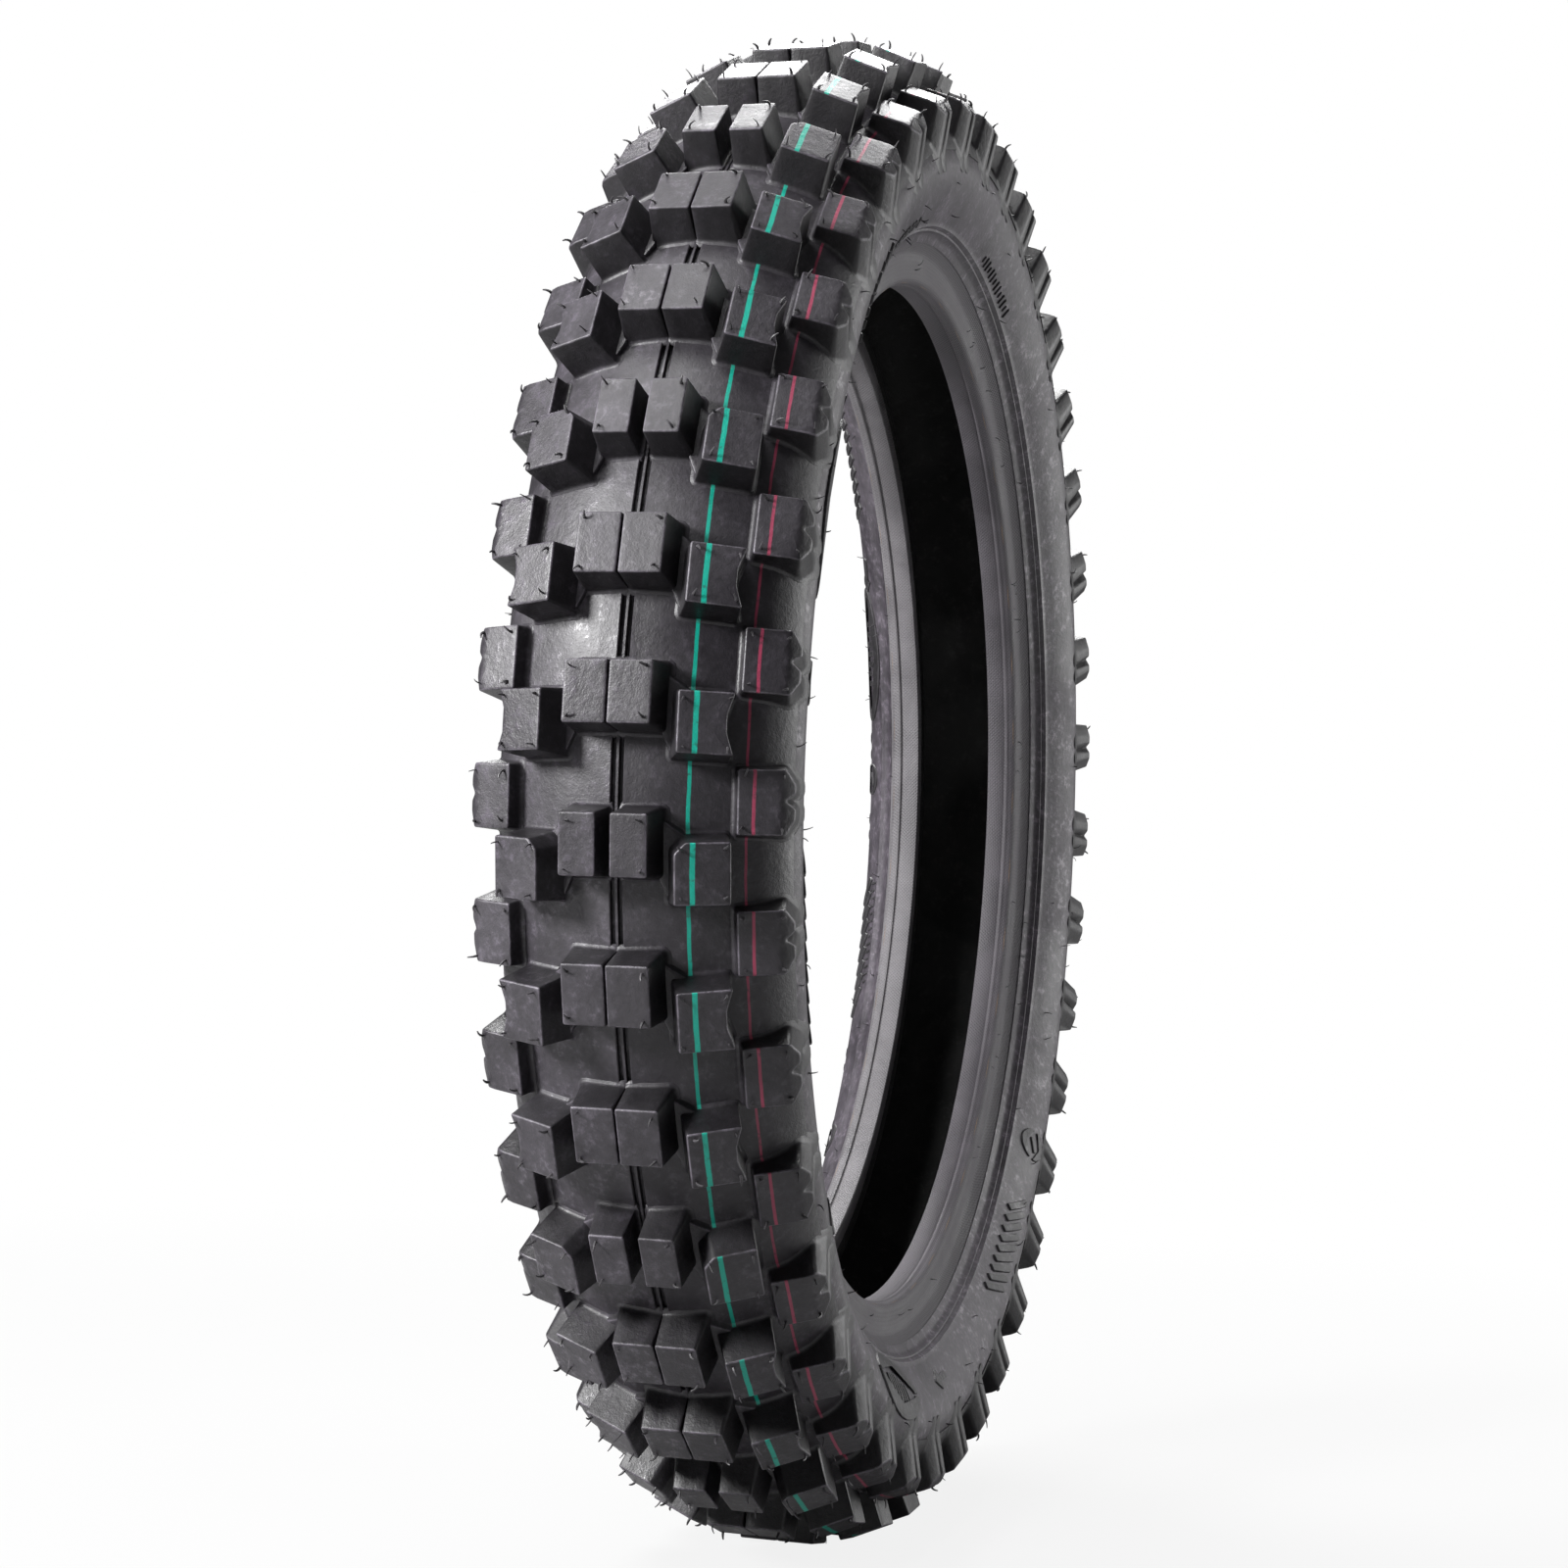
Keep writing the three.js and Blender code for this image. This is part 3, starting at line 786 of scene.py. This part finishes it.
# The outer face as one line, from the tread's floor over the sidewall to the rim line
sidewall_line = np.vstack([
    floor_curve[floor_curve[:, 0] > SIDEWALL_OUTER[0][0]],
    smooth(SIDEWALL_OUTER, 5),
    [(251.9, 43.4), (247.4, 38.9)],
])


def sidewall_axial(radius):
    """How far out the sidewall lies at a radius."""
    order = np.argsort(sidewall_line[:, 0])
    return np.interp(radius, sidewall_line[order, 0], sidewall_line[order, 1])


def sidewall_normal(radius):
    """The way out of the sidewall at a radius, as (radius, axial)."""
    step = 1.0
    slope = (sidewall_axial(radius + step) - sidewall_axial(radius - step)) / (2 * step)
    length = math.hypot(1, slope)
    return -slope / length, 1 / length


def add_mark(shell, outline, angle, radius, side, height):
    """A raised mark on the sidewall. The outline is (along, outwards) round the given place."""
    outline = anticlockwise(rounded(outline, 0.5, step=2.0, arc=2))
    step = outward(outline)
    # How far inside the outline, how far above the sidewall, and how much wear and painted highlight
    levels = [
        (0.55, height, 0.5), (0.25, height, 1.0), (0.05, height * 0.8, 1.0), (0.0, height * 0.4, 0.3),
        (-0.35, -0.5, 0.0),
    ]
    rings = []
    for inset, rise, _ in levels:
        flat = outline - step * inset
        r = radius + flat[:, 1]
        lift = np.array([sidewall_normal(q) for q in r])
        axial = sidewall_axial(r) + rise * lift[:, 1]
        r = r + rise * lift[:, 0]
        turn = flat[:, 0] / radius
        ring = np.stack([r * np.cos(turn), r * np.sin(turn), side * axial], axis=1)
        rings.append(ring if side > 0 else ring[::-1])
    shell.add_stack(place(rings, angle), [wear_and_highlight for _, _, wear_and_highlight in levels])


def bar(half_length, half_width, slant=0.0, along=0.0):
    """A slanted bar, as an outline."""
    c, s = math.cos(slant), math.sin(slant)
    corners = [
        (-half_length, -half_width), (half_length, -half_width),
        (half_length, half_width), (-half_length, half_width),
    ]
    return [(along + c * x - s * y, s * x + c * y) for x, y in corners]


def arc_band(inner, outer, start, end):
    """A band along an arc, as an outline."""
    angles = np.linspace(start, end, 14)
    return [(outer * math.cos(a), outer * math.sin(a)) for a in angles] + [
        (inner * math.cos(a), inner * math.sin(a)) for a in reversed(angles)]


# Generic marks of the right sidewall: angles in degrees and a radius for each kind. The left one
# has the same marks turned half round the Z axis, but its arrows point the same way round the tire.
LENS_PLACES, LENS_RADIUS = (-73.5, 20.0), 267.0
LENS_HALF_LENGTH, LENS_HALF_WIDTH, LENS_INSIDE = 38.0, 12.5, 0.84
ROW_PLACES, ROW_RADIUS = (-132.0, -22.0, 38.0), 266.0
ROW_BARS, ROW_STEP = 9, 1.7
RING_PLACES, RING_RADIUS = (-141.0, 5.0, -40.0), 268.0
RING_INNER, RING_OUTER, RING_GAP = 7.6, 8.6, 0.15
ARROW_PLACES, ARROW_RADIUS = (-93.0, 30.0), 264.0
ARROW = [(-9.0, -1.6), (3.0, -1.6), (3.0, -4.4), (10.0, 0.0), (3.0, 4.4), (3.0, 1.6), (-9.0, 1.6)]
SHORT_PLACES, SHORT_RADIUS = (98.0, -20.0, 55.0), 257.6
SHORT_BARS, SHORT_STEP = 14, 0.95


def lens_halves():
    """The border of a lens-shaped panel, as the outlines of its upper and lower halves."""
    upper = [
        (LENS_HALF_LENGTH * math.sin(a), LENS_HALF_WIDTH * math.cos(a) * abs(math.cos(a)) ** 0.2)
        for a in np.linspace(-1.5, 1.5, 12)
    ]
    lower = [(x, -y) for x, y in reversed(upper)]
    return [
        half + [(x * LENS_INSIDE, y * LENS_INSIDE) for x, y in reversed(half)]
        for half in (upper, lower)
    ]


def add_sidewall_marks(shell, side):
    """Lens-shaped panels with bars, rows of slanted bars, rings, arrows and rows of short bars."""
    flip = 1.0 if side > 0 else -1.0

    def at(degrees):
        """An angle on this side, in radians."""
        return math.radians(degrees) if side > 0 else math.pi - math.radians(degrees)

    def add_row(places, radius, height, outlines):
        """Marks of every outline at each of the places."""
        for centre in places:
            for outline in outlines:
                add_mark(shell, outline, at(centre), radius, side, height)

    for centre in LENS_PLACES:
        add_row([centre], LENS_RADIUS, 1.0, lens_halves())
        bars = [bar(1.3, 5.8 - 0.16 * abs(x), 0.3 * flip, x) for x in np.arange(-3, 4) * 5.5]
        add_row([centre], LENS_RADIUS, 0.8, bars)
    for start in ROW_PLACES:
        angles = [start + i * ROW_STEP for i in range(ROW_BARS)]
        add_row(angles, ROW_RADIUS, 1.1, [bar(1.7, 8.6, 0.9 * flip)])
    arcs = [
        arc_band(RING_INNER, RING_OUTER, half + RING_GAP, half + math.pi - RING_GAP)
        for half in (0.0, math.pi)
    ]
    add_row(RING_PLACES, RING_RADIUS, 0.8, arcs + [bar(4.2, 0.9, 0.5 * flip)])
    add_row(ARROW_PLACES, ARROW_RADIUS, 0.9, [ARROW])
    for start in SHORT_PLACES:
        for i in range(SHORT_BARS):
            short = bar(0.6, 2.2 if i % 3 else 1.4)
            add_row([start + i * SHORT_STEP], SHORT_RADIUS, 0.8, [short])


WALL_HAIRS, BEAD_HAIRS = 95, 46
# Radii between which the hairs of the rim line, the sidewall and the tread's edge stand
HAIR_BANDS = [(246.0, 262.0), (262.0, 284.0), (282.0, 287.0)]
# The flat outer face of the bead
BEAD_FACE = 34.0


def add_sidewall_hairs(shell, side, rng):
    """Thin vent hairs that stand or lie on the sidewall and the bead."""
    for _ in range(WALL_HAIRS):
        radius = rng.choice([rng.uniform(*band) for band in HAIR_BANDS])
        angle = rng.uniform(0, 2 * math.pi)
        across, out = sidewall_normal(radius)
        foot = place([[radius, 0.0, side * sidewall_axial(radius)]], angle)[0]
        way = place([[across, 0.0, side * out]], angle)[0]
        lean, length, thick = rng.uniform(0.5, 1.8), rng.uniform(2.5, 5.0), rng.uniform(0.24, 0.36)
        hair(shell, foot, way, lean, length, thick, rng)
    for _ in range(BEAD_HAIRS):
        angle = rng.uniform(0, 2 * math.pi)
        foot = place([[rng.uniform(232.0, 240.0), 0.0, side * BEAD_FACE]], angle)[0]
        lean, length, thick = rng.uniform(0.9, 2.0), rng.uniform(2.0, 4.5), rng.uniform(0.2, 0.28)
        hair(shell, foot, (0.0, side, 0.0), lean, length, thick, rng)


# ---------------------------------------------------------------- building the pieces

STUB_SEED = 11
WALL_SEED = 21

knobs = tread_knobs()
tread = Shell()
tread.add_ring(tread_section())
for _, knob in knobs:
    rings, rim = knob.rings()
    tread.add_stack(rings if knob.side < 0 else rings[:, ::-1], rim)
add_bridges(tread)
finish_piece(tread, "tread_cap", tread_material, "tread_rubber", "tread")

stubs = Shell()
add_knob_hairs(stubs, knobs, random.Random(STUB_SEED))
finish_piece(stubs, "tread_vent_stubs", painted_shade_rubber, "tread_rubber")

for side_name, side, bead_look in (("right", 1, bead_material), ("left", -1, lit_bead_material)):
    wall = Shell()
    wall.add_ring(sidewall_section() * (1, side))
    finish_piece(
        wall, f"sidewall_skin_{side_name}", sidewall_material, "sidewall_rubber", f"sidewall_{side_name}")
    marks = Shell()
    add_sidewall_marks(marks, side)
    finish_piece(marks, f"sidewall_marks_{side_name}", painted_shade_rubber, "sidewall_rubber")
    hairs = Shell()
    add_sidewall_hairs(hairs, side, random.Random(WALL_SEED + side))
    finish_piece(hairs, f"sidewall_hairs_{side_name}", painted_shade_rubber, "sidewall_rubber")
    bead = Shell()
    bead.add_ring(chafer_section() * (1, side))
    finish_piece(bead, f"chafer_cloth_{side_name}", bead_look, "chafer_fabric", f"chafer_{side_name}")

liner = Shell()
liner.add_ring(liner_section())
finish_piece(liner, "liner_skin", liner_material, "liner_rubber", "inner_liner")

# The CAD nodes that stay, all hidden inside, get materials of their own
cord_material = woven("cord_look", (0.1, 0.06, 0.03), (0.26, 0.16, 0.08), (0.6, 0.85), 2600.0, 0.6)
breaker_material = woven("breaker_look", (0.08, 0.05, 0.028), (0.2, 0.13, 0.07), (0.6, 0.85), 1800.0, 0.6)
wrap_material = woven("wrap_look", (0.09, 0.075, 0.05), (0.2, 0.17, 0.11), (0.7, 0.9), 4200.0, 0.5)
filler_material = rubber("filler_look", (0.014, 0.014, 0.015), (0.03, 0.029, 0.031), (0.5, 0.7))
tie_material = rubber("undertread_look", (0.016, 0.016, 0.017), (0.034, 0.033, 0.035), (0.55, 0.75))
wire_material = wire("bead_wire_look")
NODE_LOOKS = {
    "undertread": tie_material,
    "breaker_ply_1": breaker_material, "breaker_ply_2": breaker_material,
    "body_ply_1": cord_material, "body_ply_2": cord_material,
    "bead_filler_right": filler_material, "bead_filler_left": filler_material,
    "bead_wrap_right": wrap_material, "bead_wrap_left": wrap_material,
    "bead_core_right": wire_material, "bead_core_left": wire_material,
}
for node, look in NODE_LOOKS.items():
    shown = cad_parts[node].data.materials
    shown.clear()
    shown.append(look)


# ---------------------------------------------------------------- camera, floor and light

def turned(axis, degrees):
    """A turn about an axis."""
    return Matrix.Rotation(math.radians(degrees), 3, axis)


# Angles in degrees, the tire's centre off the view's axis and the distance to it in metres, and
# the focal length as a share of the sensor's width
YAW, ELEVATION, ROLL = 15.85, -3.4, -2.4
SHIFT, DISTANCE = (0.0278, -0.0037), 1.3174
FOCAL_SHARE = 1.8339
SENSOR_WIDTH = 36.0
# Camera axes: right along +Y, up along +Z and back along +X, then turned
base = Matrix(((0, 1, 0), (0, 0, 1), (1, 0, 0)))
view = turned("Z", ROLL) @ turned("X", ELEVATION) @ base @ turned("Z", -YAW)
camera_data = bpy.data.cameras.new("camera")
camera = bpy.data.objects.new("camera", camera_data)
bpy.context.scene.collection.objects.link(camera)
eye = view.transposed() @ Vector((-SHIFT[0], -SHIFT[1], DISTANCE))
camera.matrix_world = Matrix.Translation(eye) @ view.transposed().to_4x4()
camera_data.sensor_width = SENSOR_WIDTH
camera_data.lens = SENSOR_WIDTH * FOCAL_SHARE
camera_data.clip_start = 0.05
bpy.context.scene.camera = camera

FLOOR_HALF = 30.0
floor_mesh = bpy.data.meshes.new("floor")
ground = cad_box[0][2]
corners = [(x * FLOOR_HALF, y * FLOOR_HALF, ground) for x, y in ((-1, -1), (1, -1), (1, 1), (-1, 1))]
floor_mesh.from_pydata(corners, [], [(0, 1, 2, 3)])
floor = bpy.data.objects.new("floor", floor_mesh)
bpy.context.scene.collection.objects.link(floor)
# The floor throws little light back at the tire, and glows for the camera, more so further away,
# so that it stays pale and runs into the white behind it
pale = Graph("floor_look")
paint = pale.blend(pale.noise(3.0), (0.27, 0.27, 0.27), (0.31, 0.31, 0.31))
pale.links.new(paint, pale.shader.inputs["Base Color"])
pale.shader.inputs["Roughness"].default_value = 0.9
glow = pale.nodes.new("ShaderNodeEmission")
glow.inputs["Strength"].default_value = 1.0
both = pale.nodes.new("ShaderNodeMixShader")
seen_first = pale.nodes.new("ShaderNodeLightPath").outputs["Is Camera Ray"]
glow_share = pale.span(pale.vector("LENGTH", pale.object_place), 0.5, 1.6, 0.86, 1.0)
pale.links.new(pale.math("MULTIPLY", seen_first, glow_share), both.inputs[0])
pale.links.new(pale.shader.outputs["BSDF"], both.inputs[1])
pale.links.new(glow.outputs[0], both.inputs[2])
pale.links.new(both.outputs[0], pale.nodes["Material Output"].inputs["Surface"])
floor_mesh.materials.append(pale.material)


def area_light(name, spot, target, size, power):
    """A soft white lamp that the camera doesn't see."""
    light = bpy.data.lights.new(name, "AREA")
    light.shape = "SQUARE"
    light.size = size
    light.energy = power
    lamp = bpy.data.objects.new(name, light)
    lamp.location = spot
    lamp.rotation_euler = (Vector(target) - Vector(spot)).to_track_quat("-Z", "Y").to_euler()
    lamp.visible_camera = False
    bpy.context.scene.collection.objects.link(lamp)


area_light("key", spot=(1.5, -1.25, 0.65), target=(0.1, 0.0, 0.05), size=0.45, power=85.0)
area_light("top_front", spot=(1.1, -0.5, 1.9), target=(0.1, 0.0, 0.1), size=1.0, power=38.0)
area_light("top_back", spot=(-1.1, -0.3, 1.5), target=(0.0, 0.0, 0.25), size=1.1, power=75.0)
area_light("right_back", spot=(-1.3, 1.7, 0.4), target=(0.0, 0.0, 0.0), size=1.5, power=31.0)

# The camera sees a white background, and the tire gets only a weak fill from it
world = bpy.data.worlds.new("world")
bpy.context.scene.world = world
world.use_nodes = True
tree = world.node_tree
tree.nodes.clear()
output = tree.nodes.new("ShaderNodeOutputWorld")
mix = tree.nodes.new("ShaderNodeMixShader")
seen = tree.nodes.new("ShaderNodeBackground")
fill = tree.nodes.new("ShaderNodeBackground")
path = tree.nodes.new("ShaderNodeLightPath")
seen.inputs["Color"].default_value = (1.0, 1.0, 1.0, 1.0)
seen.inputs["Strength"].default_value = 1.0
fill.inputs["Color"].default_value = (0.96, 0.98, 1.0, 1.0)
fill.inputs["Strength"].default_value = 0.1
tree.links.new(path.outputs["Is Camera Ray"], mix.inputs[0])
tree.links.new(fill.outputs[0], mix.inputs[1])
tree.links.new(seen.outputs[0], mix.inputs[2])
tree.links.new(mix.outputs[0], output.inputs["Surface"])
bpy.context.scene.view_settings.view_transform = "Standard"
